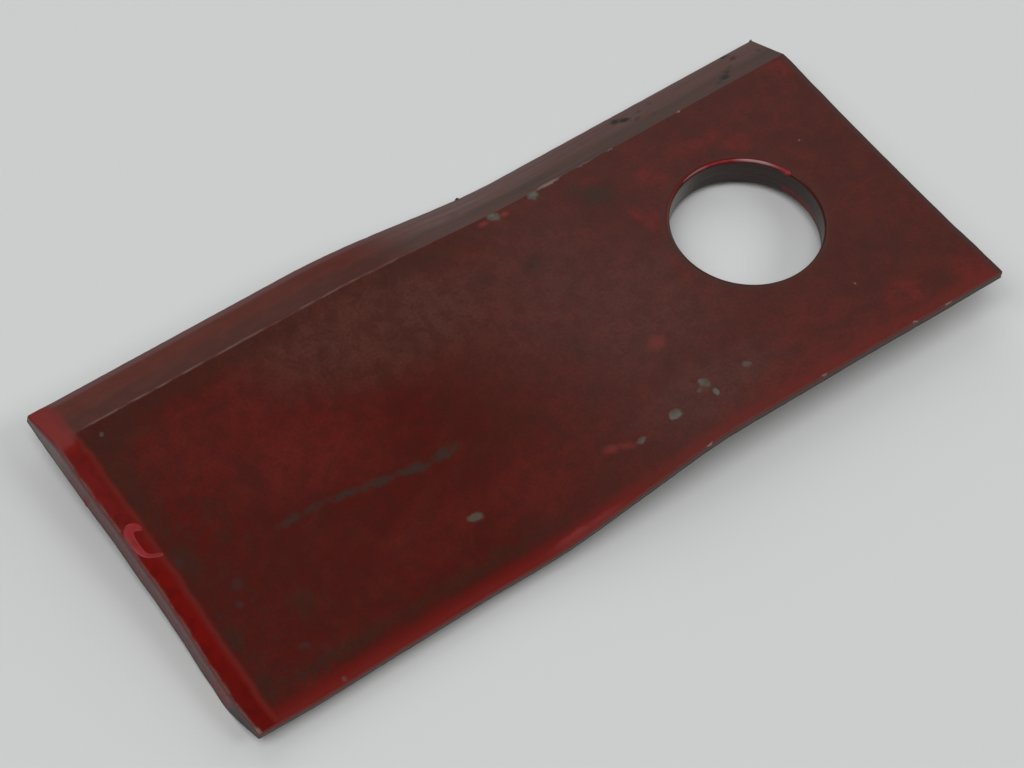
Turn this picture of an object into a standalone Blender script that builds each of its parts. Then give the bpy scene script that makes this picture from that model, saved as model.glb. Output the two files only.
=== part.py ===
"""Twisted rotary mower blade: one steel plate, lying as it comes to rest on the ground.

The blank is rolled along X, its cutting edges are ground, the bolt hole is punched, and
the plate is then twisted about its long axis. X runs from the cutting end to the hole end,
+Y is the far edge, whose bevel faces up, and Z = 0 is the ground.
"""

import math

import bmesh
import bpy
from mathutils import Matrix, Vector

# Plate, in metres.
BLADE_LENGTH = 0.110
BLADE_WIDTH = 0.048
PLATE_THICKNESS = 0.004

# Cutting edges: one bevel faces up along +Y, the other faces down along -Y.
BEVEL_WIDTH = 0.0058
EDGE_LAND = 0.0012

# Bolt hole, measured from the square end and from the long axis.
HOLE_DIAMETER = 0.0192
HOLE_FROM_END = 0.0209
HOLE_OFFSET = -0.0004

# Twist, measured from the cutting end.
TWIST_ANGLE = math.radians(10.5)
TWIST_START = 0.036
TWIST_LENGTH = 0.033

# Broken edges: sheared and ground corners, and the punch side and die side of the hole.
EDGE_ROUND = 0.00015
PUNCH_RIM_ROUND = 0.00035
DIE_RIM_ROUND = 0.00015

# Facets.
TWIST_STATIONS = 24
TWIST_COLUMNS = 10
HOLE_SEGMENTS = 96
ROUND_SEGMENTS = 2
RIM_SEGMENTS = 3
SHARP_ANGLE = math.radians(12)

# The punch reaches this far past both faces of the plate.
PUNCH_OVERRUN = 0.002

PAINT_COLOUR = (0.060, 0.011, 0.009, 1.0)
PAINT_ROUGHNESS = 0.42
PAINT_METALLIC = 0.0


def clear_scene():
    for item in list(bpy.data.objects):
        bpy.data.objects.remove(item, do_unlink=True)


def painted_steel():
    material = bpy.data.materials.new("worn_red_paint_on_steel")
    material.use_nodes = True
    shader = material.node_tree.nodes["Principled BSDF"]
    shader.inputs["Base Color"].default_value = PAINT_COLOUR
    shader.inputs["Roughness"].default_value = PAINT_ROUGHNESS
    shader.inputs["Metallic"].default_value = PAINT_METALLIC
    return material


def section_outline():
    """Corners (y, z) of the plate's section about its centre, the second half opposite the first."""
    half_width = BLADE_WIDTH / 2
    half_thickness = PLATE_THICKNESS / 2
    far_side = [
        (half_width, -half_thickness),
        (half_width, -half_thickness + EDGE_LAND),
        (half_width - BEVEL_WIDTH, half_thickness),
    ]
    near_side = [(-y, -z) for y, z in far_side]
    return far_side + near_side


def station_positions():
    """Distances from the cutting end at which the section is repeated."""
    step = TWIST_LENGTH / TWIST_STATIONS
    twisting = [TWIST_START + step * i for i in range(TWIST_STATIONS + 1)]
    return [0.0] + twisting + [BLADE_LENGTH]


def round_sharp_edges(bm, edges, width, segments):
    bmesh.ops.bevel(
        bm,
        geom=edges,
        offset=width,
        offset_type="OFFSET",
        segments=segments,
        profile=0.5,
        affect="EDGES",
        clamp_overlap=True,
    )


def in_twist(face):
    middle = face.calc_center_median().x
    return TWIST_START < middle < TWIST_START + TWIST_LENGTH


def divide_twist(bm):
    """Cuts the twisting stretch lengthways, so that its ruled faces stay close to the true surface."""
    for i in range(1, TWIST_COLUMNS):
        y = BLADE_WIDTH * (i / TWIST_COLUMNS - 0.5)
        faces = [face for face in bm.faces if in_twist(face)]
        edges = {edge for face in faces for edge in face.edges}
        verts = {vert for face in faces for vert in face.verts}
        bmesh.ops.bisect_plane(
            bm,
            geom=faces + list(edges) + list(verts),
            dist=1e-7,
            plane_co=(0.0, y, 0.0),
            plane_no=(0.0, 1.0, 0.0),
        )


def ground_blank():
    """The flat bar with both cutting edges ground and every sharp edge broken."""
    bm = bmesh.new()
    stations = station_positions()
    corners = [bm.verts.new((stations[0], y, z)) for y, z in section_outline()]
    outline = [bm.edges.new(ends) for ends in zip(corners, corners[1:] + corners[:1])]
    for start, end in zip(stations, stations[1:]):
        extruded = bmesh.ops.extrude_edge_only(bm, edges=outline)["geom"]
        moved = {item for item in extruded if isinstance(item, bmesh.types.BMVert)}
        bmesh.ops.translate(bm, verts=list(moved), vec=(end - start, 0.0, 0.0))
        outline = [edge for edge in bm.edges if moved.issuperset(edge.verts)]
    open_ends = [edge for edge in bm.edges if edge.is_boundary]
    bmesh.ops.holes_fill(bm, edges=open_ends, sides=0)
    bmesh.ops.recalc_face_normals(bm, faces=bm.faces)
    sharp = [edge for edge in bm.edges if edge.calc_face_angle() > SHARP_ANGLE]
    round_sharp_edges(bm, sharp, EDGE_ROUND, ROUND_SEGMENTS)
    divide_twist(bm)
    mesh = bpy.data.meshes.new("blade")
    bm.to_mesh(mesh)
    bm.free()
    return mesh


def hole_centre():
    return Vector((BLADE_LENGTH - HOLE_FROM_END, HOLE_OFFSET, 0.0))


def punch():
    """The round punch that cuts the bolt hole."""
    bm = bmesh.new()
    bmesh.ops.create_cone(
        bm,
        cap_ends=True,
        segments=HOLE_SEGMENTS,
        radius1=HOLE_DIAMETER / 2,
        radius2=HOLE_DIAMETER / 2,
        depth=PLATE_THICKNESS + 2 * PUNCH_OVERRUN,
        matrix=Matrix.Translation(hole_centre()),
    )
    mesh = bpy.data.meshes.new("punch")
    bm.to_mesh(mesh)
    bm.free()
    cutter = bpy.data.objects.new("punch", mesh)
    bpy.context.scene.collection.objects.link(cutter)
    cutter.hide_render = True
    cutter.display_type = "WIRE"
    return cutter


def punch_hole(blade, cutter):
    """Cuts the hole and keeps the result as the blade's own mesh."""
    cut = blade.modifiers.new("bolt_hole", "BOOLEAN")
    cut.operation = "DIFFERENCE"
    cut.object = cutter
    graph = bpy.context.evaluated_depsgraph_get()
    punched = bpy.data.meshes.new_from_object(blade.evaluated_get(graph))
    blade.modifiers.remove(cut)
    blade.data = punched
    bpy.data.objects.remove(cutter, do_unlink=True)


def rim_edges(bm, height):
    """Edges of the hole's rim on the face at this height."""
    centre = hole_centre()
    reach = HOLE_DIAMETER / 2 + EDGE_ROUND
    found = []
    for edge in bm.edges:
        on_face = all(abs(vert.co.z - height) < EDGE_ROUND / 10 for vert in edge.verts)
        round_hole = all((vert.co.xy - centre.xy).length < reach for vert in edge.verts)
        if on_face and round_hole and edge.calc_face_angle(0.0) > SHARP_ANGLE:
            found.append(edge)
    return found


def break_rims(mesh):
    """Rounds the rim that the punch entered, and breaks the rim that it left."""
    bm = bmesh.new()
    bm.from_mesh(mesh)
    half_thickness = PLATE_THICKNESS / 2
    for height, width in ((half_thickness, PUNCH_RIM_ROUND), (-half_thickness, DIE_RIM_ROUND)):
        round_sharp_edges(bm, rim_edges(bm, height), width, RIM_SEGMENTS)
    bm.to_mesh(mesh)
    bm.free()


def hole_end_roll():
    """Roll of the hole end at rest.

    The hole end touches the ground along its lower far corner, and the cutting end along the
    inner line of its lower bevel. Both lines are level when the plate's centre line is, which
    gives the roll from the width, the thickness and the twist.
    """
    far_reach = BLADE_WIDTH / 2
    near_reach = BLADE_WIDTH / 2 - BEVEL_WIDTH
    half_thickness = PLATE_THICKNESS / 2
    rise = near_reach * math.sin(TWIST_ANGLE) - half_thickness * (1 - math.cos(TWIST_ANGLE))
    run = far_reach + near_reach * math.cos(TWIST_ANGLE) - half_thickness * math.sin(TWIST_ANGLE)
    return -math.atan2(rise, run)


def roll_at(x):
    """Roll about the long axis at a distance from the cutting end, with soft starts to the twist."""
    share = min(max((x - TWIST_START) / TWIST_LENGTH, 0.0), 1.0)
    eased = share * share * (3 - 2 * share)
    return hole_end_roll() + TWIST_ANGLE * (1 - eased)


def twist(mesh):
    for vert in mesh.vertices:
        vert.co = Matrix.Rotation(roll_at(vert.co.x), 3, "X") @ vert.co


def set_on_ground(mesh):
    """Centres the plate's length on X = 0 and its lowest line on Z = 0."""
    lowest = min(vert.co.z for vert in mesh.vertices)
    mesh.transform(Matrix.Translation((-BLADE_LENGTH / 2, 0.0, -lowest)))


def make_blade():
    blade = bpy.data.objects.new("blade", ground_blank())
    bpy.context.scene.collection.objects.link(blade)
    punch_hole(blade, punch())
    break_rims(blade.data)
    twist(blade.data)
    set_on_ground(blade.data)
    blade.data.materials.clear()
    blade.data.materials.append(painted_steel())
    blade.data.shade_smooth()
    blade.data.set_sharp_from_angle(angle=SHARP_ANGLE)
    return blade


clear_scene()
make_blade()
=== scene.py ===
"""Looks of a rotary mower blade: worn red enamel over ground, sheared and punched steel.

The file is laid out as an add-on and run as a script. Every shape is drawn on the straight
blank, in millimetres: u runs from the cutting end to the hole end, v from the long axis
towards the edge whose bevel faces up, and w upwards from the underside. The blank is then
twisted and laid down as the solid blade lies.
"""

import math
from collections import namedtuple

import bpy
import numpy as np
from bpy.props import FloatProperty, FloatVectorProperty, PointerProperty
from mathutils import Matrix, Vector, noise


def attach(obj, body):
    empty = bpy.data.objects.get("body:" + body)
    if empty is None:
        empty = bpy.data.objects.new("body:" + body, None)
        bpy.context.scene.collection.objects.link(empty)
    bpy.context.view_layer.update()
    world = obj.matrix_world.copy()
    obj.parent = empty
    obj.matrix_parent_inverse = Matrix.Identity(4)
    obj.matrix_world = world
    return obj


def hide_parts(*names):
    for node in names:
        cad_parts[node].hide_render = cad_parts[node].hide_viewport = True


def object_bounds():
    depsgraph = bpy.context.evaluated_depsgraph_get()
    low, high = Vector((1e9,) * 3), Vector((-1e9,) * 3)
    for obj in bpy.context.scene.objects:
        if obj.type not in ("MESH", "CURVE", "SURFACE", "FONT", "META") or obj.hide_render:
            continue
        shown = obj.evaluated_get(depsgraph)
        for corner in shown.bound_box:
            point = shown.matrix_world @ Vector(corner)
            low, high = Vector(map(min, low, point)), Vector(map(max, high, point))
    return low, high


bl_info = {
    "name": "Rotary Mower Blade",
    "version": (1, 0, 0),
    "blender": (4, 5, 0),
    "location": "3D View > Sidebar > Blade",
    "description": "Dresses a twisted mower blade in worn enamel and bare steel, on a plain stage",
    "category": "Object",
}

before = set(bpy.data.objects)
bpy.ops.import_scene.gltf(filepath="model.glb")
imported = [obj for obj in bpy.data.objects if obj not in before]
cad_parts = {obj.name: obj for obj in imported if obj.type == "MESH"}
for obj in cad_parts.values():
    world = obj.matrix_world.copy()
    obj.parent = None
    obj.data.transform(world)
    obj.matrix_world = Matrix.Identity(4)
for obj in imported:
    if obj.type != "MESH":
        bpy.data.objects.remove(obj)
CAD_LOW, CAD_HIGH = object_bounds()

MM = 0.001
PHOTO_WIDTH = 1024

# Where grid lines follow a rounded corner, as shares of its radius.
ROUND_STEPS = (0, 0.03, 0.13, 0.3, 0.55, 1, 1.5)
WALL_ROWS = 12

# Material slots of the blade's mesh.
ENAMEL, GROUND, SHEARED, PUNCHED = range(4)

# Sockets of the Mix node when it mixes colours.
MIX_FACTOR, MIX_BELOW, MIX_ABOVE, MIX_RESULT = 0, 6, 7, 2

# Height of the plate's upper face.
TOP = 4.0

# A mark on the blank: its middle, half its length and width, how strongly it shows, its turn
# from the blade's length in degrees, and its height.
Mark = namedtuple("Mark", "u v long wide strength turn w", defaults=(1, 0, TOP))

# How far a mark reaches above and below its height, where it isn't put on a mesh.
MARK_DEPTH = 1.5

# Over what length the bead of paint thins out, and where and how softly the sag ends.
BEAD_FADE = 2.2
SAG_END = 58
SAG_FADE = 10

# A run of paint or a burr: the points of its path, half its width and its height at each of
# them, and the direction it stands out in. A run within the hole gives none and stands out
# towards its middle. Each point of such a path is an angle from the blade's length in degrees,
# the distance out from the hole's wall, and the height.
Run = namedtuple("Run", "path wide high outwards", defaults=(None,))

# A soft lamp far away: its direction and spread in degrees, and its level at right angles,
# where 1 shows white paper as white.
Lamp = namedtuple("Lamp", "name azimuth elevation spread level")


def marks_from(*rows):
    """Marks made from rows of their values, which leave out what the defaults say."""
    return [Mark(*row) for row in rows]


CHIPS = marks_from(
    (36.5, -15, 1, 0.5, 0.8, -12), (69.3, -16.6, 0.55, 0.75, 0.85, 25),
    (68.3, -17.1, 0.45, 0.3, 0.5, 30), (69.7, -18.4, 0.35, 0.5, 0.9),
    (75.3, -17.3, 0.6, 0.45, 0.5, -20), (63.7, -18.1, 0.8, 0.6),
    (58.4, -18.4, 0.6, 0.35, 0.7, 15), (63.4, 17.7, 0.8, 0.6, 1, -25), (69.6, 17.8, 0.65, 0.7),
    (5.2, 16.5, 0.25, 0.35, 0.6), (11.8, -23.3, 0.3, 0.3, 0.5),
)
# Oil and dirt stains, and three long thin strips along the bevel's inner line (v 16.8 to 17.6) that
# are painted shade along that line.
STAINS_AND_CREASE_SHADE = marks_from(
    (76, 13.4, 2, 1.3, 1, -20), (74.4, 15.4, 1.1, 0.9, 0.6), (63, 8.9, 1.4, 1, 0.7, 10),
    (52, 16.8, 9, 1.5, 0.5), (65, 4, 1.2, 0.9, 0.3, 30), (59.8, -3.8, 1.5, 1, 0.3, -30),
    (57, 11, 2, 1.2, 0.3, 40), (67.5, 13, 2, 1.4, 0.3), (4.4, 9.5, 1.5, 9.5, 0.45),
    (6, 15.5, 4, 2, 0.5), (10, -1.7, 0.7, 0.9, 0.5), (4.4, -2, 1.3, 2.4, 0.7),
    (4.1, -12.8, 1, 1.4, 0.8), (13.2, -13.2, 1.3, 1.6, 0.5, 20), (3.8, -19.8, 1.2, 1.4, 0.6),
    (14, -20.6, 8, 0.9, 0.6), (32, -20.7, 12, 0.9, 0.5), (40.3, 15.3, 0.5, 0.5, 0.5),
    (17.5, 4.3, 0.4, 0.4, 0.5), (17, 17.2, 16, 1.3, 0.45), (40, 17.6, 12, 0.8, 0.3),
)
HAZES = marks_from(
    (41, 12, 17, 7, 0.9, -12), (58, 6, 13, 9, 0.45), (70, -3, 10, 9, 0.5), (70, -17.5, 9, 4, 0.6),
)
GLOWS = marks_from(
    (79.5, 7, 1.7, 2.4), (86, -17, 7, 1.6, 0.4), (83.3, 12, 1.8, 1.4, 0.9),
    (92, 12.6, 4, 1.2, 0.7), (96, 10.1, 1.8, 1.3, 0.9, -20), (78, -3, 1.2, 3, 0.4),
    (98, -20, 3.2, 2, 0.9), (85, -21.5, 14, 2, 0.5), (107.8, -21.8, 2.8, 2.6, 0.95),
    (108, 16.6, 1.2, 2, 0.6), (15.4, 14.2, 2, 0.4, 0.7), (16, 9, 10, 5.5, 0.45, -15),
    (23.5, 2.5, 9, 5, 0.6, -10), (31, -14, 8, 3, 0.35, 10), (44, -15, 6, 3.5, 0.4),
    (36.7, 17.2, 0.6, 0.4, 0.6), (42.7, 17.1, 0.6, 0.4, 0.6),
)
PINK_SCUFFS = marks_from(
    (54.8, -17.2, 0.9, 0.5, 0.5, -20), (56.5, -17.9, 1.1, 0.4, 0.35, -30), (45, -23.3, 2.6, 0.5),
    (48.6, -23.4, 2.4, 0.4, 0.8), (68.3, -8.7, 1.1, 0.8, 0.35, 10), (61.6, 17.4, 0.7, 0.3, 0.6),
    (64.9, 17.3, 0.5, 0.25, 0.6),
)
SCRAPES = marks_from(
    (17.6, -4, 1.5, 0.5, 0.9), (21, -4.1, 1.6, 0.4, 0.7), (24.8, -4.6, 2, 0.5, 0.9, -10),
    (29, -5.3, 2.3, 0.5, 0.9, -8), (33.8, -6.1, 2, 0.6, 1, -12), (38.4, -6.3, 1.9, 0.65),
)
BLUE_SPECKS = marks_from(
    (8, -7.5, 0.5, 0.7, 0.7, -30), (6.8, -9.7, 0.4, 0.5, 0.7), (3.7, -1.7, 0.5, 0.6, 0.5),
    (10.3, -17.8, 0.6, 0.4, 0.6), (12.3, -19.5, 0.5, 0.8, 0.3, 20),
)
PALE_SPECKS = marks_from(
    (102.7, 6, 0.13, 0.13, 0.6), (94, -15.3, 0.13, 0.15, 0.6), (64.4, -23.9, 0.4, 0.14, 0.9),
    (82, -23.9, 0.3, 0.12, 0.6), (96.4, -23.9, 0.35, 0.13, 0.8), (101.5, -23.95, 0.5, 0.13, 0.8),
    (0.15, -23.5, 0.25, 0.45, 0.5), (72.2, 18.2, 1.7, 0.22, 0.7), (78, 18.2, 1.2, 0.14, 0.3),
    (82, 18.15, 0.35, 0.14, 0.6), (93, 18.2, 0.3, 0.16, 0.8),
)
PITS = marks_from(
    (86.5, 22.7, 0.6, 0.5, 1, 30, 1.9), (87.5, 22.1, 0.7, 0.5, 1, -20, 2.1),
    (88.7, 21, 0.6, 0.3, 0.5, 20, 2.6), (89.9, 22.2, 0.4, 0.25, 0.5, 0, 2.1),
    (90.8, 20.4, 0.5, 0.2, 0.45, 30, 2.9), (92, 22.6, 0.35, 0.25, 0.6, 0, 1.9),
    (101.9, 19.8, 0.7, 0.5, 0.9, 10, 3.2), (100.6, 19.4, 0.5, 0.3, 0.4, 0, 3.4),
    (102.9, 20.6, 0.35, 0.4, 0.6, 0, 2.9), (103.8, 21.2, 0.7, 0.2, 0.4, 20, 2.5),
    (105.6, 22.5, 0.5, 0.3, 0.8, 10, 1.9), (105, 23.6, 0.6, 0.25, 0.9, 0, 1.4),
    (108.8, 21.4, 0.3, 0.3, 0.5, 0, 2.5), (60, 21.3, 0.8, 0.5, 0.25, 0, 2.5),
)
HOLE_SMEARS = marks_from(
    (98.4, 1.9, 0.9, 1.1, 1, 0, 1), (98.7, -0.4, 0.6, 1.7, 0.8, 0, 0.3),
    (98.4, -2.9, 0.6, 1.4, 0.6, 0, 0.4),
)

# How far the trimmed edges stand out from straight lines, by their place along them.
CUT_END_BOW = (
    (-24, 0.2), (-20, 0.43), (-14, 0.27), (-8, 0.01), (-3, -0.09), (0, -0.02), (5, -0.07),
    (12, 0.08), (16, 0.1), (20, 0.13), (24, 0.08),
)
HOLE_END_BOW = (
    (-24, 0.34), (-20, 0.26), (-14, 0.06), (-6, 0), (4, 0.02), (12, 0.14), (17, 0.27),
    (20, 0.12), (24, 0),
)
NEAR_EDGE_BOW = (
    (0, 0.2), (8, 0.36), (20, 0.2), (33, 0.07), (44, 0.25), (56, 0.12), (68, -0.06), (86, 0.03),
    (104, 0.27), (110, 0.33),
)

PAINT_RUNS = (
    Run(
        (
            (2.4, 3.8, 4.1), (2.1, 4.4, 4.1), (1.4, 4.7, 4.1), (0.85, 4.2, 4.1),
            (0.75, 3.4, 4.1), (0.7, 2.4, 4.1), (0.9, 1.3, 4.1), (1.5, 0.6, 4.1),
            (2.5, 0.2, 4.06), (3, 0.1, 4),
        ),
        (0.3, 0.52, 0.62, 0.62, 0.5, 0.52, 0.42, 0.3, 0.3, 0.16),
        (0.05, 0.08, 0.1, 0.12, 0.11, 0.11, 0.1, 0.09, 0.07, 0.04),
        (0, 0, 1),
    ),
    Run(
        ((0, 12.1, 1.5), (0, 11.7, 0.9), (0, 11.2, 0.3), (0, 11, 0)),
        (0.12, 0.22, 0.3, 0.2), (0.04, 0.1, 0.16, 0.1), (-1, 0, 0),
    ),
    Run(
        (
            (112, 0.22, 3.82), (100, 0.2, 3.84), (88, 0.2, 3.84), (72, 0.2, 3.84),
            (56, 0.2, 3.84), (40, 0.2, 3.85), (28, 0.18, 3.84), (20, 0.1, 3.8), (16, 0.1, 3.72),
        ),
        (0.06, 0.11, 0.15, 0.17, 0.19, 0.19, 0.2, 0.32, 0.26),
        (0.08, 0.14, 0.16, 0.17, 0.18, 0.2, 0.22, 0.4, 0.3),
    ),
)

BURRS = (
    Run(
        ((62.3, 23.9, 1.1), (62.7, 24.05, 1.2), (63.1, 23.9, 1.1)),
        (0.08, 0.13, 0.08), (0.05, 0.12, 0.05), (0, 0.7, 0.7),
    ),
    Run(
        ((109.5, 23.9, 1.2), (109.85, 23.98, 1.25), (110.05, 23.98, 1.2)),
        (0.05, 0.11, 0.07), (0.04, 0.09, 0.04), (0, 0.7, 0.7),
    ),
)

LAMPS = (
    Lamp("overhead_lamp", 203, 70, 38, 0.47),
    Lamp("left_lamp", 160, 50, 30, 0.17),
    Lamp("near_lamp", 311, 47, 26, 0.2),
    Lamp("far_lamp", 73, 42, 50, 0.2),
    Lamp("right_lamp", 6, 25, 45, 0.21),
)


def linear(code):
    """The linear colour, with an alpha of 1, of an sRGB hex value such as #8a2b2b."""
    parts = [int(code[i : i + 2], 16) / 255 for i in (1, 3, 5)]
    return [p / 12.92 if p <= 0.04045 else ((p + 0.055) / 1.055) ** 2.4 for p in parts] + [1.0]


def colour(value):
    """The same colour, turned linear if it is an sRGB hex value."""
    return linear(value) if isinstance(value, str) else value


def colour_property(name, description, code):
    """A colour that a user can change, given as an sRGB hex value."""
    return FloatVectorProperty(
        name=name, description=description, default=linear(code), min=0, max=1, size=4,
        subtype="COLOR",
    )


def length_property(name, description, default):
    """A length that a user can change, in metres."""
    return FloatProperty(
        name=name, description=description, default=default, precision=5, unit="LENGTH"
    )


def angle_property(name, description, degrees):
    """An angle that a user can change, given in degrees."""
    return FloatProperty(
        name=name, description=description, default=math.radians(degrees), subtype="ANGLE"
    )


class BladeSizes(bpy.types.PropertyGroup):
    """Sizes of the bare blade, the same as the solid blade's"""

    length: length_property("Length", "From end to end", CAD_HIGH.x - CAD_LOW.x)
    width: length_property("Width", "Across the blade, from edge to edge", 0.048)
    thickness: length_property("Thickness", "Of the rolled plate", TOP * MM)
    bevel_width: length_property("Bevel width", "Of each ground edge, across the blade", 0.0058)
    edge_land: length_property("Edge land", "Thickness left at the ground edges", 0.0012)
    hole_diameter: length_property("Hole diameter", "Of the punched bolt hole", 0.0192)
    hole_from_end: length_property("Hole from end", "Hole's centre from the hole end", 0.0209)
    hole_offset: length_property("Hole offset", "Hole's centre from the long axis", -0.0004)
    twist_start: length_property("Twist start", "Distance from the cutting end", 0.036)
    twist_length: length_property("Twist length", "Length of the twisted stretch", 0.033)
    twist: angle_property("Twist", "Turn of the cutting end against the hole end", 10.5)
    corner_round: length_property("Corner round", "Radius of the worn corners", 0.00014)
    rim_round: length_property("Rim round", "Radius of the hole's upper rim", 0.00045)
    tip_round: length_property("Tip round", "Radius of the four tips, seen from above", 0.00025)
    mesh_cell: length_property("Mesh cell", "Side of the mesh's cells", 0.0005)


class BladePaint(bpy.types.PropertyGroup):
    """Sizes and colours of the paint and of the steel that shows through it"""

    bead_width: length_property("Bead width", "Thick paint that ran to the cutting end", 0.0036)
    bead_height: length_property("Bead height", "Of that paint above the face", 0.00013)
    bead_rounding: length_property("Bead rounding", "Reach of it over the bevel's line", 0.0016)
    sag_width: length_property("Sag width", "Thick paint along the lower edge", 0.0020)
    sag_height: length_property("Sag height", "Of that paint above the face", 0.00006)
    chip_depth: length_property("Chip depth", "Of the places where the paint is off", 0.00007)
    thin: colour_property("Thin paint", "Enamel worn thin, towards the hole end", "#4c1a10")
    full: colour_property("Full paint", "Enamel at its usual thickness", "#500b04")
    thick: colour_property("Thick paint", "Enamel where it has run together", "#660d09")
    glow: colour_property("Clear paint", "Patches that kept their red", "#621a14")
    # This colour also paints the shade along the bevel's inner line.
    stain_and_crease_shade: colour_property("Stain", "Oil and dirt worn into the paint", "#332014")
    haze: colour_property("Haze", "Paint rubbed dull", "#522d25")
    scuff: colour_property("Scuff", "Paint rubbed pale", "#7a2b29")
    steel: colour_property("Bare steel", "Where the paint is off", "#4c463b")
    ground: colour_property("Ground steel", "The bevels, under a haze of paint", "#5a423d")


class StageSettings(bpy.types.PropertyGroup):
    """The floor, the light and the camera"""

    floor_size: length_property("Floor size", "Side of the square floor", 3.0)
    floor: colour_property("Floor colour", "Pale, plain board", "#cfd1d0")
    azimuth: angle_property("Azimuth", "Of the camera", -46.349)
    elevation: angle_property("Elevation", "Of the camera", 57.345)
    roll: angle_property("Roll", "Of the camera", 11.51)
    distance: length_property("Distance", "From the camera to its target", 0.44524)
    target_u: length_property("Target along", "Camera's target, from the cutting end", 0.05309)
    target_v: length_property("Target across", "Camera's target, from the axis", -0.00083)
    focal_pixels: FloatProperty(
        name="Focal length", description="In pixels of the photograph's frame", default=3684.9
    )
    light: FloatProperty(name="Light", description="Level of all the lamps together", default=1)
    room: FloatProperty(name="Room", description="Radiance of the room around", default=0.02)


def smooth(share):
    """0 below 0, 1 above 1, and an eased step between them."""
    share = np.clip(share, 0, 1)
    return share * share * (3 - 2 * share)


def ripple(points, size, seed):
    """Smooth noise from -1 to 1 at each point, flat or solid, in lumps of about this size."""
    shift = Vector((seed, seed, seed))
    return np.array([noise.noise(Vector(point).to_3d() / size + shift) for point in points])


def corner_drop(distance, radius):
    """How far a rounded corner lies below its face, at a distance from the edge."""
    inside = np.clip(radius - distance, 0, radius)
    return radius - np.sqrt(radius**2 - inside**2)


class Blank:
    """The straight blank, in millimetres, worked out from the blade's sizes."""

    def __init__(self, sizes):
        self.length = sizes.length / MM
        self.half_width = sizes.width / 2 / MM
        self.thickness = sizes.thickness / MM
        self.bevel_line = self.half_width - sizes.bevel_width / MM
        self.bevel_slope = (sizes.thickness - sizes.edge_land) / sizes.bevel_width
        self.hole = np.array([self.length - sizes.hole_from_end / MM, sizes.hole_offset / MM])
        self.hole_radius = sizes.hole_diameter / 2 / MM
        self.corner_round = sizes.corner_round / MM
        self.rim_round = sizes.rim_round / MM
        self.tip_round = sizes.tip_round / MM
        self.cell = sizes.mesh_cell / MM
        self.twist = sizes.twist
        self.twist_start = sizes.twist_start / MM
        self.twist_length = sizes.twist_length / MM

    def top(self, v, ease=0):
        """Height of the upper side, with the bevel of the far edge.

        The bevel's inner edge is rounded over this length to either side of it.
        """
        past_line = v - self.bevel_line
        reach = np.maximum(ease, 1e-6)
        turning = np.clip(past_line + reach, 0, 2 * reach) ** 2 / (4 * reach)
        drop = np.where(past_line > reach, past_line, turning)
        return self.thickness - drop * self.bevel_slope

    def underside(self, v):
        """Height of the lower side, with the bevel of the near edge."""
        return self.thickness - self.top(-v)

    def from_hole(self, points):
        """Distances of points (u, v) from the hole's rim."""
        return np.hypot(*(points - self.hole).T) - self.hole_radius

    def hole_end_roll(self):
        """Roll of the hole end as the blade rests on one corner and one bevel's inner line."""
        half = self.thickness / 2
        rise = self.bevel_line * math.sin(self.twist) - half * (1 - math.cos(self.twist))
        reach = self.half_width + self.bevel_line * math.cos(self.twist)
        return -math.atan2(rise, reach - half * math.sin(self.twist))

    def laid_down(self, points):
        """Places in the row frame, in metres, of points (u, v, w) of the blank."""
        u, v, w = np.asarray(points, float).T
        end_roll = self.hole_end_roll()
        untwisted = smooth((u - self.twist_start) / self.twist_length)
        roll = end_roll + self.twist * (1 - untwisted)
        lift = w - self.thickness / 2
        corner = self.half_width * math.sin(-end_roll) + self.thickness / 2 * math.cos(end_roll)
        across = v * np.cos(roll) - lift * np.sin(roll)
        up = v * np.sin(roll) + lift * np.cos(roll) + corner
        return np.stack([u * MM + CAD_LOW.x, across * MM, up * MM + CAD_LOW.z], -1)


def even_lines(stops, cell):
    """Positions through all the stops, in order, no more than a cell apart."""
    found = [stops[0]]
    for start, stop in zip(stops, stops[1:]):
        count = math.ceil((stop - start) / cell - 1e-6)
        found += [start + (stop - start) * (i + 1) / count for i in range(count)]
    return found


def loop_of(us, vs):
    """The grid points round a rectangle, in turn, anticlockwise from its first corner."""
    near = [(u, vs[0]) for u in us[:-1]]
    right = [(us[-1], v) for v in vs[:-1]]
    far = [(u, vs[-1]) for u in us[:0:-1]]
    left = [(us[0], v) for v in vs[:0:-1]]
    return near + right + far + left


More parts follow.
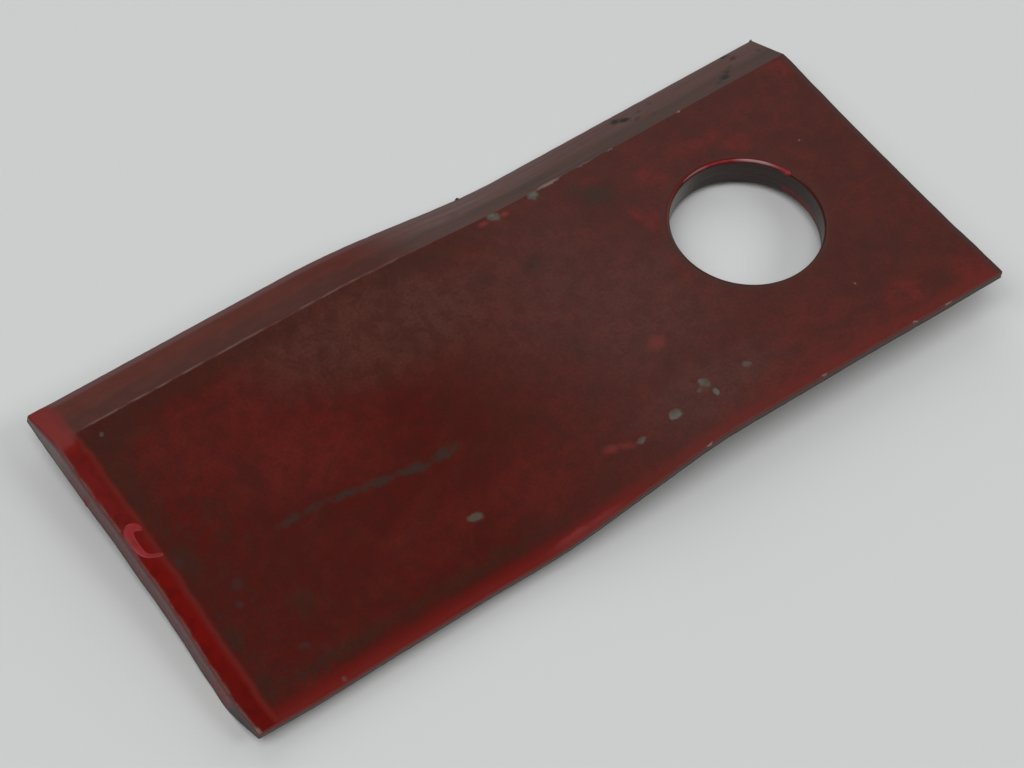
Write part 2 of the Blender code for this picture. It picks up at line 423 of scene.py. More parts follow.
class Plan:
    """The blank seen from above: points (u, v), quads, and the loops of its outline and hole."""

    HOLE_MARGIN = 2.8
    BEAD_CELL = 0.2
    BEAD_REACH = 4.0

    def __init__(self, blank):
        self.points = []
        self.places = {}
        self.quads = []
        reach = blank.hole_radius + self.HOLE_MARGIN
        low, high = blank.hole - reach, blank.hole + reach
        rounding = [step * blank.corner_round for step in ROUND_STEPS]
        bead = list(np.arange(2 * self.BEAD_CELL, self.BEAD_REACH, self.BEAD_CELL))
        end = [blank.length - step for step in reversed(rounding)]
        along = even_lines(rounding + bead + [low[0], high[0]] + end, blank.cell)
        edge = [step - blank.half_width for step in rounding]
        crease = [step - blank.bevel_line for step in (-blank.corner_round, 0, blank.corner_round)]
        mirrored = [-step for step in reversed(edge + crease)]
        across = even_lines(edge + crease + [low[1], high[1]] + mirrored, blank.cell)
        self.add_grid(along, across, low, high)
        self.outline = [self.point(*place) for place in loop_of(along, across)]
        self.hole = self.add_hole(blank, along, across, low, high)
        self.points = np.array(self.points)
        self.quads = np.array(self.quads)

    def point(self, u, v):
        key = (round(u, 5), round(v, 5))
        if key not in self.places:
            self.places[key] = len(self.points)
            self.points.append((u, v))
        return self.places[key]

    def add_grid(self, along, across, low, high):
        """Cells everywhere but in the square round the hole."""
        for left, right in zip(along, along[1:]):
            for near, far in zip(across, across[1:]):
                middle = np.array([left + right, near + far]) / 2
                if np.all(middle > low) and np.all(middle < high):
                    continue
                corners = ((left, near), (right, near), (right, far), (left, far))
                self.quads.append([self.point(*corner) for corner in corners])

    def add_hole(self, blank, along, across, low, high):
        """Rings from the hole's rim out to the square of cells. Returns the rim's loop."""
        slack = blank.cell / 100
        us = [u for u in along if low[0] - slack < u < high[0] + slack]
        vs = [v for v in across if low[1] - slack < v < high[1] + slack]
        rim = [step * blank.rim_round for step in ROUND_STEPS]
        rings = round(self.HOLE_MARGIN / blank.cell)
        spokes = []
        for place in loop_of(us, vs):
            arm = np.array(place) - blank.hole
            span = np.linalg.norm(arm) - blank.hole_radius - rim[-1]
            steps = rim + [rim[-1] + span * ring / rings for ring in range(1, rings)]
            ways = [blank.hole_radius + step for step in steps]
            inner = [blank.hole + arm / np.linalg.norm(arm) * way for way in ways]
            spokes.append([self.point(*point) for point in inner] + [self.point(*place)])
        for spoke, following in zip(spokes, spokes[1:] + spokes[:1]):
            for i in range(len(spoke) - 1):
                self.quads.append([spoke[i], spoke[i + 1], following[i + 1], following[i]])
        return [spoke[0] for spoke in spokes]


def inside_mark(points, mark, fade):
    """1 inside a mark and 0 outside it at points (u, v). The fade is a share of its size."""
    turn = math.radians(mark.turn)
    du, dv = (points - (mark.u, mark.v)).T
    along = (du * math.cos(turn) + dv * math.sin(turn)) / mark.long
    across = (dv * math.cos(turn) - du * math.sin(turn)) / mark.wide
    return smooth((1 + fade - np.hypot(along, across)) / (2 * fade))


def soft_marks(points, marks):
    """How strongly the marks show at points (u, v), with soft and wandering outlines."""
    wandering = points + 0.9 * np.column_stack([ripple(points, 2.5, seed) for seed in (11, 13)])
    return np.max([inside_mark(wandering, mark, 0.6) * mark.strength for mark in marks], axis=0)


def thick_paint(points, blank, paint):
    """Thickness of the paint that ran together, above the upper face."""
    u, v = points.T
    across = np.column_stack([0 * u, v])
    lip = paint.bead_width / MM + 0.35 * ripple(across, 4, 3) + 0.15 * ripple(points, 1.2, 15)
    bead = paint.bead_height / MM * smooth((lip - u) / BEAD_FADE)
    along = np.column_stack([u, 0 * u])
    reach = paint.sag_width / MM * (1 + 0.4 * ripple(along, 7, 5))
    fading = smooth((SAG_END - u) / SAG_FADE)
    sag = paint.sag_height / MM * smooth(1 - (v + blank.half_width) / reach) * fading
    return np.maximum(bead, sag)


def chipped(points, paint):
    """How deep the chips lie at each point."""
    off = np.max([inside_mark(points, chip, 0.2) * chip.strength for chip in CHIPS], axis=0)
    return off * paint.chip_depth / MM


def bow(table, places):
    """How far an edge stands out at each place along it, eased between the table's entries."""
    stops, heights = np.array(table, float).T
    step = np.clip(np.searchsorted(stops, places) - 1, 0, len(stops) - 2)
    share = smooth((places - stops[step]) / (stops[step + 1] - stops[step]))
    return heights[step] + (heights[step + 1] - heights[step]) * share


def seen_plan(points, blank):
    """The plan with rounded tips, and edges that bow and waver as trimmed ones do.

    Each tip's small square is mapped onto a quarter of a disc.
    """
    moved = points.copy()
    radius = blank.tip_round
    for end, inward in ((0, 1), (blank.length, -1)):
        for side in (-1, 1):
            from_end = radius - (points[:, 0] - end) * inward
            from_edge = radius - (blank.half_width - side * points[:, 1])
            tip = (from_end > 0) & (from_edge > 0)
            a, b = from_end[tip] / radius, from_edge[tip] / radius
            moved[tip, 0] = end + inward * radius * (1 - a * np.sqrt(1 - b**2 / 2))
            moved[tip, 1] = side * (blank.half_width - radius * (1 - b * np.sqrt(1 - a**2 / 2)))
    u, v = points.T
    waver = 0.03 * ripple(points, 1.6, 7) + 0.015 * ripple(points, 0.5, 9)
    hole_end = bow(HOLE_END_BOW, v) * smooth(1 - (blank.length - u) / 8)
    cut_end = bow(CUT_END_BOW, v) * smooth(1 - u / 8)
    near_edge = bow(NEAR_EDGE_BOW, u) * smooth(1 - (v + blank.half_width) / 6)
    moved[:, 0] += hole_end + waver * smooth(1 - (blank.length - u) / 0.8)
    moved[:, 0] -= cut_end + waver * smooth(1 - u / 0.8)
    moved[:, 1] -= near_edge + waver * smooth(1 - (v + blank.half_width) / 0.8)
    moved[:, 1] += waver * smooth(1 - (blank.half_width - v) / 0.8)
    return moved


def faces_of_sides(plan, blank, paint):
    """Heights of the upper and lower side over each point of the plan."""
    u, v = plan.points.T
    from_rim = blank.from_hole(plan.points)
    corners = np.array([u, blank.length - u, v + blank.half_width, blank.half_width - v])
    worn = corner_drop(corners, blank.corner_round).max(axis=0)
    over_rim = np.maximum(worn, corner_drop(from_rim, blank.rim_round))
    under_rim = np.maximum(worn, corner_drop(from_rim, blank.corner_round))
    thick = thick_paint(plan.points, blank, paint)
    ease = paint.bead_rounding / MM * smooth(thick / (paint.bead_height / MM))
    upper = blank.top(v, ease) - over_rim + thick - chipped(plan.points, paint)
    return upper, blank.underside(v) + under_rim


def outward(plan, blank, loop):
    """Direction out of the steel at each point of a loop, seen from above."""
    points = plan.points[loop]
    if loop is plan.hole:
        out = blank.hole - points
    else:
        along = np.roll(points, -1, axis=0) - np.roll(points, 1, axis=0)
        out = np.column_stack([along[:, 1], -along[:, 0]])
    return out / np.linalg.norm(out, axis=1)[:, None]


def torn_face(share, points, seed):
    """How far a sheared or punched wall stands back at a share of its height.

    The upper part was cut clean and the lower part broke away, a little undercut and rough.
    """
    broken = smooth((0.62 + 0.1 * ripple(points, 6, seed) - share) / 0.12)
    return broken * (0.03 + 0.02 * ripple(points, 0.8, seed + 1))


def blade_mesh(blank, paint):
    """The whole blade as one closed mesh, with a slot for each finish.

    Each point keeps its place on the blank, the thickness of the paint that ran together, and
    its stains, rubbing and clear paint; some of the stains are painted shade along the bevel's
    inner line.
    """
    plan = Plan(blank)
    upper, lower = faces_of_sides(plan, blank, paint)
    thick = thick_paint(plan.points, blank, paint)
    wear_and_crease_shade = np.column_stack([soft_marks(plan.points, marks) for marks in (STAINS_AND_CREASE_SHADE, HAZES, GLOWS)])
    seen = seen_plan(plan.points, blank)
    total = 2 * len(plan.points)
    shape = [np.column_stack([seen, upper]), np.column_stack([seen, lower])]
    kept = [np.column_stack([plan.points, upper, thick, wear_and_crease_shade])]
    kept.append(np.column_stack([plan.points, lower, 0 * thick, 0 * wear_and_crease_shade]))
    middle = plan.points[plan.quads].mean(axis=1)[:, 1]
    quads = [plan.quads, plan.quads[:, ::-1] + len(plan.points)]
    slots = [np.where(middle > blank.bevel_line, GROUND, ENAMEL)]
    slots.append(np.where(middle < -blank.bevel_line, GROUND, ENAMEL))
    for loop, slot in ((plan.outline, SHEARED), (plan.hole, PUNCHED)):
        rows = [np.array(loop) + len(plan.points)]
        facing = outward(plan, blank, loop)
        for row in range(1, WALL_ROWS):
            share = row / WALL_ROWS
            height = lower[loop] + (upper[loop] - lower[loop]) * share
            place = np.column_stack([plan.points[loop], height])
            back = torn_face(share, place, slot) * smooth(min(share, 1 - share) * 8)
            shape.append(np.column_stack([seen[loop] - facing * back[:, None], height]))
            kept.append(np.column_stack([place, thick[loop] * smooth(share * 3 - 2), wear_and_crease_shade[loop]]))
            rows.append(total + np.arange(len(loop)))
            total += len(loop)
        rows.append(np.array(loop))
        for low_row, high_row in zip(rows, rows[1:]):
            around = [low_row, np.roll(low_row, -1), np.roll(high_row, -1), high_row]
            wall = np.column_stack(around)
            quads.append(wall if slot == SHEARED else wall[:, ::-1])
            slots.append(np.full(len(loop), slot))
    kept = np.vstack(kept)
    mesh = make_mesh("blade", blank, np.vstack(shape), np.vstack(quads), kept[:, :3])
    keep(mesh, "thick_mm", kept[:, 3])
    keep(mesh, "wear_and_crease_shade", kept[:, 4:])
    mesh.polygons.foreach_set("material_index", np.concatenate(slots))
    return mesh


def keep(mesh, name, values):
    """Keeps a number or a vector for each point of the mesh, for the materials to read."""
    kind, field = ("FLOAT", "value") if values.ndim == 1 else ("FLOAT_VECTOR", "vector")
    mesh.attributes.new(name, kind, "POINT").data.foreach_set(field, values.ravel())


def make_mesh(name, blank, shape, faces, places):
    """A smooth mesh laid down in the row frame, which keeps each point's place on the blank."""
    mesh = bpy.data.meshes.new(name)
    mesh.from_pydata(blank.laid_down(shape).tolist(), [], [list(face) for face in faces])
    keep(mesh, "blank_mm", places)
    mesh.shade_smooth()
    return mesh


def add(tree, kind, inputs, output=0, **settings):
    """Adds a shader node with its settings, values and links. Returns one of its outputs."""
    made = tree.nodes.new("ShaderNode" + kind)
    for name, value in settings.items():
        setattr(made, name, value)
    for socket, value in inputs.items():
        if isinstance(value, bpy.types.NodeSocket):
            tree.links.new(value, made.inputs[socket])
        else:
            made.inputs[socket].default_value = value
    return made.outputs[output]


def plain_material(name, values):
    """A material with these values on its shader's sockets."""
    material = bpy.data.materials.new(name)
    material.use_nodes = True
    shader = material.node_tree.nodes["Principled BSDF"]
    for socket, value in values.items():
        shader.inputs[socket].default_value = value
    return material


def new_material(name, values):
    """Such a material, its node tree, its shader and its place on the blank in millimetres."""
    material = plain_material(name, values)
    tree = material.node_tree
    place = add(tree, "Attribute", {}, "Vector", attribute_name="blank_mm")
    return material, tree, tree.nodes["Principled BSDF"], place


def past(place, axis, start, stop, low=0, high=1):
    """Goes smoothly from low to high between two lines across an axis of the blank."""
    tree = place.id_data
    along = add(tree, "SeparateXYZ", {0: place}, axis)
    limits = {0: along, 1: start, 2: stop, 3: low, 4: high}
    return add(tree, "MapRange", limits, interpolation_type="SMOOTHSTEP")


def run_thick(tree, start, stop, low=0, high=1):
    """Goes from low to high as the paint that ran together gets thicker, in millimetres."""
    thick = add(tree, "Attribute", {}, "Fac", attribute_name="thick_mm")
    limits = {0: thick, 1: start, 2: stop, 3: low, 4: high}
    return add(tree, "MapRange", limits, interpolation_type="SMOOTHSTEP")


def round_hole(place, blank, reach):
    """1 at the hole's rim and 0 at some distance from it."""
    tree = place.id_data
    hole = {"Vector": place, "Location": (*blank.hole, 0), "Scale": (1, 1, 1000)}
    local = add(tree, "Mapping", hole, vector_type="TEXTURE")
    away = add(tree, "VectorMath", {0: local}, "Value", operation="LENGTH")
    limits = {0: away, 1: blank.hole_radius + 0.3, 2: blank.hole_radius + reach, 3: 1, 4: 0}
    return add(tree, "MapRange", limits, interpolation_type="SMOOTHSTEP")


def clouds(place, size, low=0.35, high=0.65, detail=4):
    """Cloudy patches from 0 to 1, of about this size. It is a number, or one for each axis."""
    tree = place.id_data
    sizes = size if isinstance(size, tuple) else (size, size, size)
    scale = tuple(1 / side for side in sizes)
    scaled = add(tree, "Mapping", {"Vector": place, "Scale": scale})
    cloud = add(tree, "TexNoise", {"Vector": scaled, "Scale": 1, "Detail": detail}, "Fac")
    limits = {0: cloud, 1: low, 2: high}
    return add(tree, "MapRange", limits, interpolation_type="SMOOTHSTEP")


def ragged(place, size, reach):
    """The same place pushed about, in lumps of this size, so that outlines turn ragged."""
    tree = place.id_data
    lumps = {"Vector": place, "Scale": 1 / size, "Detail": 3}
    centred = {0: add(tree, "TexNoise", lumps, "Color"), 1: (0.5, 0.5, 0.5)}
    push = add(tree, "VectorMath", centred, operation="SUBTRACT")
    moved = {0: push, 1: (2 * reach, 2 * reach, 2 * reach), 2: place}
    return add(tree, "VectorMath", moved, operation="MULTIPLY_ADD")


def inside_marks(place, marks, fade):
    """Each mark's strength inside it and 0 outside. The fade is a share of the mark's size."""
    tree = place.id_data
    total = 0
    for mark in marks:
        inputs = {
            "Vector": place, "Location": (mark.u, mark.v, mark.w),
            "Rotation": (0, 0, math.radians(mark.turn)),
            "Scale": (mark.long, mark.wide, MARK_DEPTH),
        }
        local = add(tree, "Mapping", inputs, vector_type="TEXTURE")
        away = add(tree, "VectorMath", {0: local}, "Value", operation="LENGTH")
        limits = {0: away, 1: 1 - fade, 2: 1 + fade, 3: mark.strength, 4: 0}
        inside = add(tree, "MapRange", limits, interpolation_type="SMOOTHSTEP")
        total = add(tree, "Math", {0: total, 1: inside}, operation="MAXIMUM")
    return total


def layered(tree, below, layers):
    """Colours laid over one another, each where all the masks before it overlap.

    A colour is an sRGB hex value, a setting of the paint or the result of other layers.
    """
    for *masks, above in layers:
        shared = masks[0]
        for mask in masks[1:]:
            shared = add(tree, "Math", {0: shared, 1: mask}, operation="MULTIPLY")
        inputs = {MIX_FACTOR: shared, MIX_BELOW: colour(below), MIX_ABOVE: colour(above)}
        below = add(tree, "Mix", inputs, MIX_RESULT, data_type="RGBA")
    return below


def dented(tree, shader, *relief):
    """Bumps made of patterns from 0 to 1 and their heights in millimetres."""
    normal = None
    for pattern, height in relief:
        inputs = {"Height": pattern, "Distance": height * MM}
        if normal:
            inputs["Normal"] = normal
        normal = add(tree, "Bump", inputs, "Normal")
    tree.links.new(normal, shader.inputs["Normal"])


def crease_line(place, blank):
    """The layer of the line rubbed along the bevel's inner edge, which is whole up to the twist."""
    wavering = ragged(place, 1, 0.09)
    line = blank.bevel_line
    return (
        past(wavering, "Y", line - 0.18, line + 0.02),
        past(wavering, "Y", line + 0.08, line + 0.34, 1, 0),
        past(place, "X", 46, 58, 1, 0),
        past(place, "X", 3.2, 5),
        clouds(place, (2.2, 1, 1), 0.36, 0.66),
        "#5d413c",
    )


def run_together(place, patchy):
    """Layers of the paint that ran together: pinker on the bevel and duller towards the middle."""
    tree = place.id_data
    full = run_thick(tree, 0.075, 0.128)
    spotted = clouds(place, 1.3, 0.45, 0.7, detail=8)
    return [
        (run_thick(tree, 0.002, 0.06), 0.8, "#651c17"),
        (full, "#660d09"),
        (full, past(place, "Y", -1, 6), 0.7, "#5b1917"),
        (full, past(place, "Y", -19, -12, 1, 0), "#5a0e0a"),
        (full, patchy, past(place, "Y", -6, 4), 0.55, "#6c1a18"),
        (full, spotted, 0.5, "#4c0a07"),
        (full, past(ragged(place, 2, 1.6), "Y", 14.8, 17.6), "#6c1712"),
    ]


def worn_enamel(paint, blank):
    """Red alkyd enamel, dipped thin over dark plate and rubbed in storage.

    It gives the eye a dull, deep maroon that turns brown where it is rubbed or soiled and
    crimson where it has run together. Shade is painted in as darker strips along the bevel's
    inner line and along the top edge of the hole end.
    """
    material, tree, shader, place = new_material("worn_red_enamel", {"Specular IOR Level": 0.2})
    torn = ragged(place, 0.5, 0.34)
    drifting = ragged(place, 2.5, 1.2)
    wavering = ragged(place, 1.2, 0.14)
    broad = clouds(ragged(place, 9, 5), 14)
    patchy = clouds(drifting, 3, 0.4, 0.68, detail=9)
    mottled = clouds(place, 1.6, 0.38, 0.64, detail=9)
    fine = clouds(place, 0.4, 0.3, 0.7, detail=6)
    near = -blank.half_width
    near_edge = past(wavering, "Y", near + 0.8, near + 2.6, 1, 0)
    chips = inside_marks(torn, CHIPS, 0.35)
    scraped = inside_marks(ragged(place, 0.8, 0.6), SCRAPES, 0.5)
    wear_and_crease_shade = add(tree, "Attribute", {}, "Vector", attribute_name="wear_and_crease_shade")
    stains_and_crease_shade, rubbed, clear = (add(tree, "SeparateXYZ", {0: wear_and_crease_shade}, axis) for axis in "XYZ")
    layers = [
        (past(drifting, "X", 36, 60), paint.thin),
        (patchy, 0.5, "#5b1a10"),
        (broad, 0.35, "#3a140c"),
        (rubbed, paint.haze),
        (clear, paint.glow),
        # Stains, and painted shade along the bevel's inner line.
        (stains_and_crease_shade, paint.stain_and_crease_shade),
        (clouds(drifting, 5, 0.5, 0.72, detail=7), 0.35, "#37180e"),
        (mottled, 0.4, "#3a120a"),
        (fine, 0.3, "#2e100a"),
        (clouds(place, 0.7, 0.58, 0.68), past(drifting, "X", 6, 18, 0.7, 0.15), "#30201c"),
        (near_edge, 0.5, "#661a13"),
        (near_edge, past(drifting, "X", 50, 57, 1, 0), 0.85, "#5d0803"),
        (inside_marks(torn, PINK_SCUFFS, 0.8), paint.scuff),
        (scraped, clouds(place, 0.9, 0.28, 0.5), "#36251f"),
        (inside_marks(torn, BLUE_SPECKS, 0.7), "#3a2524"),
        (round_hole(ragged(place, 3, 0.4), blank, 1.6), past(place, "X", 80, 90, 0.8, 0.3), "#3d241c"),
        (round_hole(ragged(place, 2, 0.3), blank, 1.1), past(place, "Y", 3, 7), 0.6, "#560f0c"),
        *run_together(place, patchy),
        (past(wavering, "X", 0.1, 0.45, 1, 0), clouds(place, (1, 1.8, 1), 0.3, 0.6), 0.4, "#5f564c"),
        # A dark strip along the top edge of the hole end: painted shade of that edge.
        (past(wavering, "X", blank.length - 0.9, blank.length - 0.5), 0.8, "#3b2926"),
        (past(wavering, "Y", near + 0.12, near + 0.34, 1, 0), 0.7, "#5c302a"),
        (inside_marks(torn, PALE_SPECKS, 0.5), "#806a64"),
        crease_line(place, blank),
        (chips, paint.steel),
        (chips, mottled, past(place, "X", 50, 60), 0.7, "#605c59"),
    ]
    tree.links.new(layered(tree, paint.full, layers), shader.inputs["Base Color"])
    glossy = run_thick(tree, 0.03, 0.1, 0.33, 0.22)
    rough = add(tree, "Math", {0: chips, 1: 0.2, 2: glossy}, operation="MULTIPLY_ADD")
    tree.links.new(rough, shader.inputs["Roughness"])
    dented(tree, shader, (clouds(place, 1.8, 0.3, 0.7), 0.006), (fine, 0.002))
    return material


def ground_steel(paint, blank):
    """Carbon steel ground along the edge, with a haze of red paint rubbed over it.

    It gives the eye a dull taupe with fine streaks along the blade, redder to the cutting end.
    """
    values = {"Roughness": 0.42, "Specular IOR Level": 0.25}
    material, tree, shader, place = new_material("hazed_ground_steel", values)
    drifting = ragged(place, 4, 3)
    line, edge = blank.bevel_line, blank.half_width
    # The real grinding marks are finer than a pixel, so they are drawn coarser.
    streaks = clouds(place, (9, 0.22, 0.22), 0.35, 0.65, detail=5)
    bands = clouds(place, (30, 1.1, 1.1), 0.4, 0.6)
    patchy = clouds(place, (3, 1.2, 1.2), 0.4, 0.65, detail=8)
    haze = past(drifting, "X", 43, 57, 1, 0)
    inner = past(ragged(place, 6, 0.5), "Y", line + 1.9, line + 3.2, 1, 0)
    painted = layered(tree, "#501a0d", [(inner, "#43190e")])
    layers = [
        (past(place, "X", 44, 52), past(place, "X", 70, 80, 1, 0), "#65504c"),
        (inner, "#47362f"),
        (bands, 0.5, "#5f3d39"),
        (streaks, 0.45, "#3f302b"),
        (patchy, 0.25, "#5a2f28"),
        (haze, painted),
        (streaks, haze, 0.15, "#33150f"),
        (patchy, haze, 0.25, "#5c2a20"),
        # A paler mauve strip along the bevel's outer edge: a painted highlight of that edge.
        (past(place, "Y", edge - 1.1, edge - 0.5), 0.6, "#5f4648"),
        crease_line(place, blank),
        (inside_marks(ragged(place, 0.3, 0.38), PITS, 0.5), "#211814"),
        (inside_marks(ragged(place, 0.5, 0.2), PALE_SPECKS, 0.5), "#806a64"),
        (inside_marks(ragged(place, 0.5, 0.34), CHIPS, 0.35), paint.steel),
        *run_together(place, patchy),
    ]
    tree.links.new(layered(tree, paint.ground, layers), shader.inputs["Base Color"])
    bare = add(tree, "Math", {0: haze, 1: -0.15, 2: 0.15}, operation="MULTIPLY_ADD")
    tree.links.new(bare, shader.inputs["Metallic"])
    dented(tree, shader, (streaks, 0.005))
    return material


def sheared_steel(paint, blank):
    """Plate sheared across: burnished above, broken below, and smeared with paint.

    It gives the eye a mauve-grey end with a paler upper line, and long edges painted dark
    brown, partly as painted shade.
    """
    values = {"Roughness": 0.5, "Metallic": 0.1, "Specular IOR Level": 0.3}
    material, tree, shader, place = new_material("sheared_steel", values)
    wavering = ragged(place, 2, 0.4)
    smears = clouds(place, (2.5, 2.5, 0.5), 0.5, 0.62)
    grain = clouds(place, 0.4, 0.3, 0.7, detail=6)
    layers = [
        (past(wavering, "Z", 1.5, 2.4, 1, 0), "#6c4345"),
        (past(wavering, "Z", 2.9, 3.5), 0.6, "#7f6c6d"),
        (smears, 0.5, "#6d2a2c"),
        (past(wavering, "Y", -18.9, -17.7), past(wavering, "Y", -16.4, -14.6, 1, 0), 0.9, "#7d3033"),
        (past(wavering, "Y", 14, 18), 0.5, "#7d7474"),
        (past(wavering, "Y", -19.6, -18.4, 1, 0), 0.9, "#33352f"),
        (grain, 0.3, "#3c3330"),
        # A dark band along the bottom of each wall: painted shade.
        (past(wavering, "Z", 0.2, 0.7, 0.7, 0), "#2a2322"),
        # Every wall but the cutting end's is painted dark brown, which is partly painted shade.
        (past(place, "X", 0.4, 1.4), "#4a332b"),
        (run_thick(tree, 0.01, 0.08), paint.thick),
    ]
    tree.links.new(layered(tree, "#704e4f", layers), shader.inputs["Base Color"])
    dented(tree, shader, (grain, 0.03))
    return material


def punched_steel(paint, blank):
    """The hole's wall, scored round by the punch and dark with old oil."""
    values = {"Roughness": 0.4, "Metallic": 0.1, "Specular IOR Level": 0.3}
    material, tree, shader, place = new_material("punched_steel", values)
    torn = ragged(place, 0.7, 0.5)
    low = past(torn, "Z", 0.8, 1.4, 1, 0)
    streaks = clouds(place, (8, 8, 0.22))
    layers = [
        (past(place, "X", 84, 89.6, 1, 0), "#7b7871"),
        (streaks, 0.55, "#1c130f"),
        (past(place, "Z", 3.35, 3.6), "#521512"),
        (inside_marks(torn, HOLE_SMEARS, 0.4), low, clouds(place, 0.8, 0.34, 0.5), "#6e161b"),
    ]
    tree.links.new(layered(tree, "#382822", layers), shader.inputs["Base Color"])
    dented(tree, shader, (streaks, 0.02))
    return material


def fresh_enamel():
    """The same enamel where it ran and stayed thick, which gives it a clear, pinkish crimson.

    Round the hole it is painted pale in two stretches: painted highlights of the rim.
    """
    values = {"Roughness": 0.46, "Specular IOR Level": 0.3}
    material, tree, shader, place = new_material("thick_red_enamel", values)
    layers = [
        (clouds(place, 0.8), 0.6, "#6c100f"),
        # The two pale stretches round the hole's rim are painted highlights.
        (past(place, "X", 93.4, 95.4), past(place, "X", 96.6, 97.9, 1, 0), "#9a7274"),
        (past(place, "X", 89.6, 90.8, 1, 0), past(place, "X", 60, 70), "#7c4d4c"),
    ]
    tree.links.new(layered(tree, "#86161e", layers), shader.inputs["Base Color"])
    return material


def dark_burr():
    """Bare, oxidised steel of the burrs that grinding left, which look almost black."""
    values = {"Base Color": linear("#241c19"), "Roughness": 0.55, "Metallic": 0.2}
    return plain_material("dark_burr_steel", values)


def pale_board(stage):
    """Smooth, pale board, which gives a plain, slightly grey floor."""
    values = {"Base Color": stage.floor, "Roughness": 0.7, "Specular IOR Level": 0.2}
    return plain_material("pale_board", values)


def spline(points, per_step):
    """Points of a smooth curve through the given ones."""
    points = np.array(points, float)
    ends = np.vstack([2 * points[0] - points[1], points, 2 * points[-1] - points[-2]])
    found = []
    for a, b, c, d in zip(ends, ends[1:], ends[2:], ends[3:]):
        for t in np.linspace(0, 1, per_step, endpoint=False):
            bend = 2 * a - 5 * b + 4 * c - d + t * (3 * (b - c) + d - a)
            found.append(b + 0.5 * t * (c - a + t * bend))
    return np.array(found + [points[-1]])


def tube(path, sizes, outwards, sides=16):
    """Points and faces of a closed, flattened tube with blunt ends, along a path."""
    stations = np.linspace(0, 1, len(path))
    blunt = np.sqrt(np.clip(1 - (2 * stations - 1) ** 8, 0, 1))
    rings = []
    for i in range(1, len(path) - 1):
        sideways = np.cross(path[i + 1] - path[i - 1], outwards[i])
        sideways /= np.linalg.norm(sideways)
        wide, high = sizes[i] * blunt[i]
        for turn in np.arange(sides) * 2 * math.pi / sides:
            beside = sideways * wide * math.cos(turn)
            rings.append(path[i] + beside + outwards[i] * high * math.sin(turn))
    first, last = len(rings), len(rings) + 1
    faces = []
    for side in range(sides):
        following = (side + 1) % sides
        for start in range(0, len(rings) - sides, sides):
            ahead = start + sides
            faces.append([start + side, start + following, ahead + following, ahead + side])
        faces.append([first, following, side])
        faces.append([last, len(rings) - sides + side, len(rings) - sides + following])
    return np.vstack([rings, path[0], path[-1]]), faces


def run_parts(blank, runs, per_step=6):
    """Points and faces of each run."""
    for run in runs:
        path = spline(run.path, per_step)
        sizes = spline(np.column_stack([run.wide, run.high]), per_step)
        if run.outwards:
            outwards = np.tile(np.array(run.outwards, float), (len(path), 1))
        else:
            turn, out, height = path.T
            turn = np.radians(turn)
            outwards = -np.column_stack([np.cos(turn), np.sin(turn), 0 * turn])
            path = [*blank.hole, 0] - outwards * (blank.hole_radius + out)[:, None]
            path += np.outer(height, (0, 0, 1))
        yield tube(path, sizes, outwards)


def add_object(name, data):
    """Adds an object to the scene for a mesh, a lamp or a camera, and returns it."""
    made = bpy.data.objects.new(name, data)
    bpy.context.scene.collection.objects.link(made)
    return made


def add_runs(context, name, runs, material):
    """Adds one piece made of closed runs."""
    blank = Blank(context.scene.blade_sizes)
    points, faces = [], []
    for run_points, run_faces in run_parts(blank, runs):
        faces += [[corner + len(points) for corner in face] for face in run_faces]
        points += run_points.tolist()
    mesh = make_mesh(name, blank, np.array(points), faces, np.array(points))
    mesh.materials.append(material)
    piece = add_object(name, mesh)
    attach(piece, "root")


class BLADE_OT_dress_plate(bpy.types.Operator):
    """Builds the blade with its worn edges, thick paint and chips, and gives it its finishes"""

    bl_idname = "blade.dress_plate"
    bl_label = "Dress the Plate"

    def execute(self, context):
        blank = Blank(context.scene.blade_sizes)
        paint = context.scene.blade_paint
        mesh = blade_mesh(blank, paint)
        for make in (worn_enamel, ground_steel, sheared_steel, punched_steel):
            mesh.materials.append(make(paint, blank))
        plate = add_object("painted_blade", mesh)
        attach(plate, "root")
        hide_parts("blade")
        return {"FINISHED"}


class BLADE_OT_add_paint_runs(bpy.types.Operator):
    """Adds the curl of paint on the bead and the drips at the cutting end and in the hole"""

    bl_idname = "blade.add_paint_runs"
    bl_label = "Add Paint Runs"

    def execute(self, context):
        add_runs(context, "paint_runs", PAINT_RUNS, fresh_enamel())
        return {"FINISHED"}


class BLADE_OT_add_burrs(bpy.types.Operator):
    """Adds the small burrs on the ground edge"""

    bl_idname = "blade.add_burrs"
    bl_label = "Add Burrs"

    def execute(self, context):
        add_runs(context, "edge_burrs", BURRS, dark_burr())
        return {"FINISHED"}


def direction(azimuth, elevation):
    """The direction at this turn from +X and this height over the floor."""
    level = math.cos(elevation)
    return Vector((math.cos(azimuth) * level, math.sin(azimuth) * level, math.sin(elevation)))


def camera_axes(stage):
    """Directions to the right, up and back of the camera, as the photograph was taken."""
    back = direction(stage.azimuth - math.pi / 2, stage.elevation)
    right = back.cross(Vector((0, 0, -1))).normalized()
    up = back.cross(right)
    turned_right = right * math.cos(stage.roll) + up * math.sin(stage.roll)
    turned_up = up * math.cos(stage.roll) - right * math.sin(stage.roll)
    return turned_right, turned_up, back


def add_lamp(lamp, light):
    """A soft lamp so far away that it lights the whole floor evenly."""
    data = bpy.data.lights.new(lamp.name, "SUN")
    data.angle = math.radians(lamp.spread)
    data.energy = lamp.level * light * math.pi
    made = add_object(lamp.name, data)
    towards = direction(math.radians(lamp.azimuth), math.radians(lamp.elevation))
    made.rotation_euler = towards.to_track_quat("Z", "Y").to_euler()
    made.location = towards


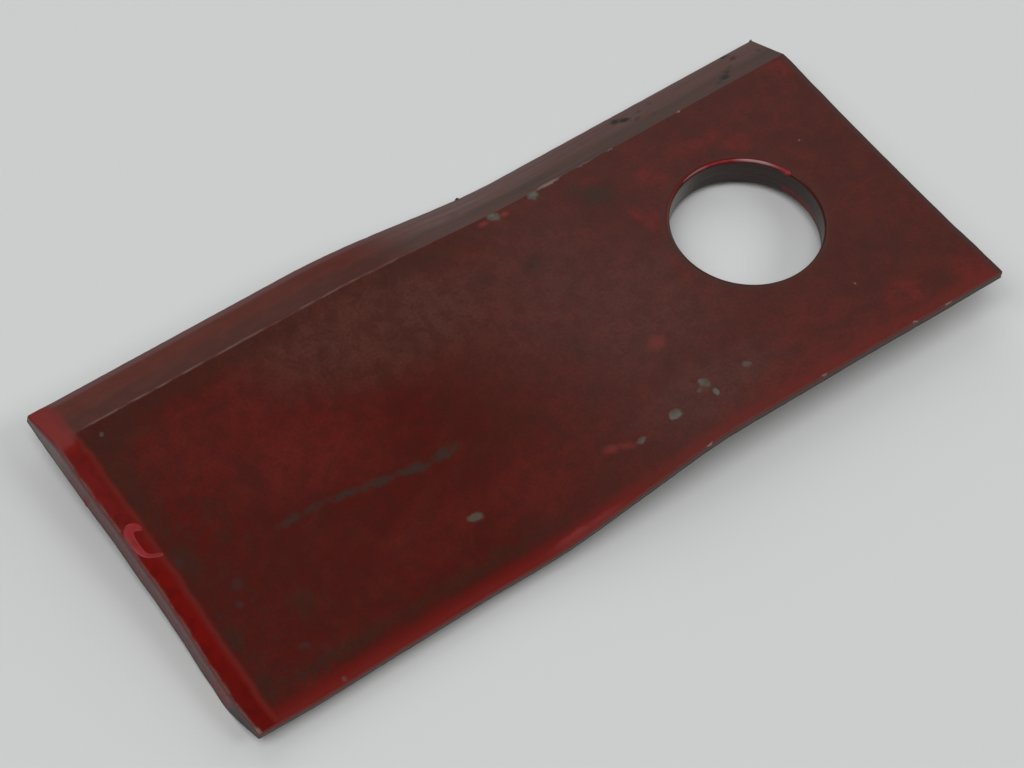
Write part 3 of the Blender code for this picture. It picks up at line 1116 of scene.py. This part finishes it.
def add_room(stage):
    """A dim, even room around the lamps."""
    world = bpy.data.worlds.new("plain_room")
    world.use_nodes = True
    background = world.node_tree.nodes["Background"]
    background.inputs["Color"].default_value = (1, 1, 1, 1)
    background.inputs["Strength"].default_value = stage.room
    bpy.context.scene.world = world


def add_floor(stage):
    half = stage.floor_size / 2
    corners = [(-half, -half, 0), (half, -half, 0), (half, half, 0), (-half, half, 0)]
    mesh = bpy.data.meshes.new("floor")
    mesh.from_pydata(corners, [], [(0, 1, 2, 3)])
    mesh.materials.append(pale_board(stage))
    floor = add_object("floor", mesh)


def add_camera(stage):
    data = bpy.data.cameras.new("camera")
    data.lens = stage.focal_pixels * data.sensor_width / PHOTO_WIDTH
    camera = add_object("camera", data)
    right, up, back = camera_axes(stage)
    place = Vector((stage.target_u + CAD_LOW.x, stage.target_v, 0)) + back * stage.distance
    rows = [(right[i], up[i], back[i], place[i]) for i in range(3)] + [(0, 0, 0, 1)]
    camera.matrix_world = Matrix(rows)
    bpy.context.scene.camera = camera


class BLADE_OT_set_stage(bpy.types.Operator):
    """Adds the floor, the light and the camera"""

    bl_idname = "blade.set_stage"
    bl_label = "Set the Stage"

    def execute(self, context):
        stage = context.scene.blade_stage
        add_floor(stage)
        for lamp in LAMPS:
            add_lamp(lamp, stage.light)
        add_room(stage)
        add_camera(stage)
        context.scene.view_settings.view_transform = "Standard"
        return {"FINISHED"}


STEPS = (BLADE_OT_dress_plate, BLADE_OT_add_paint_runs, BLADE_OT_add_burrs, BLADE_OT_set_stage)
GROUPS = {"blade_sizes": BladeSizes, "blade_paint": BladePaint, "blade_stage": StageSettings}


class BLADE_PT_looks(bpy.types.Panel):
    """Lists the blade's operators and settings"""

    bl_label = "Mower Blade"
    bl_idname = "BLADE_PT_looks"
    bl_space_type = "VIEW_3D"
    bl_region_type = "UI"
    bl_category = "Blade"

    def draw(self, context):
        for step in STEPS:
            self.layout.operator(step.bl_idname)
        for name, group in GROUPS.items():
            box = self.layout.box()
            for setting in group.__annotations__:
                box.prop(getattr(context.scene, name), setting)


def register():
    for item in (*GROUPS.values(), *STEPS, BLADE_PT_looks):
        bpy.utils.register_class(item)
    for name, group in GROUPS.items():
        setattr(bpy.types.Scene, name, PointerProperty(type=group))


def unregister():
    for name in GROUPS:
        delattr(bpy.types.Scene, name)
    for item in (BLADE_PT_looks, *reversed(STEPS), *GROUPS.values()):
        bpy.utils.unregister_class(item)


def main():
    register()
    bpy.ops.blade.dress_plate()
    bpy.ops.blade.add_paint_runs()
    bpy.ops.blade.add_burrs()
    bpy.ops.blade.set_stage()


if __name__ == "__main__":
    main()
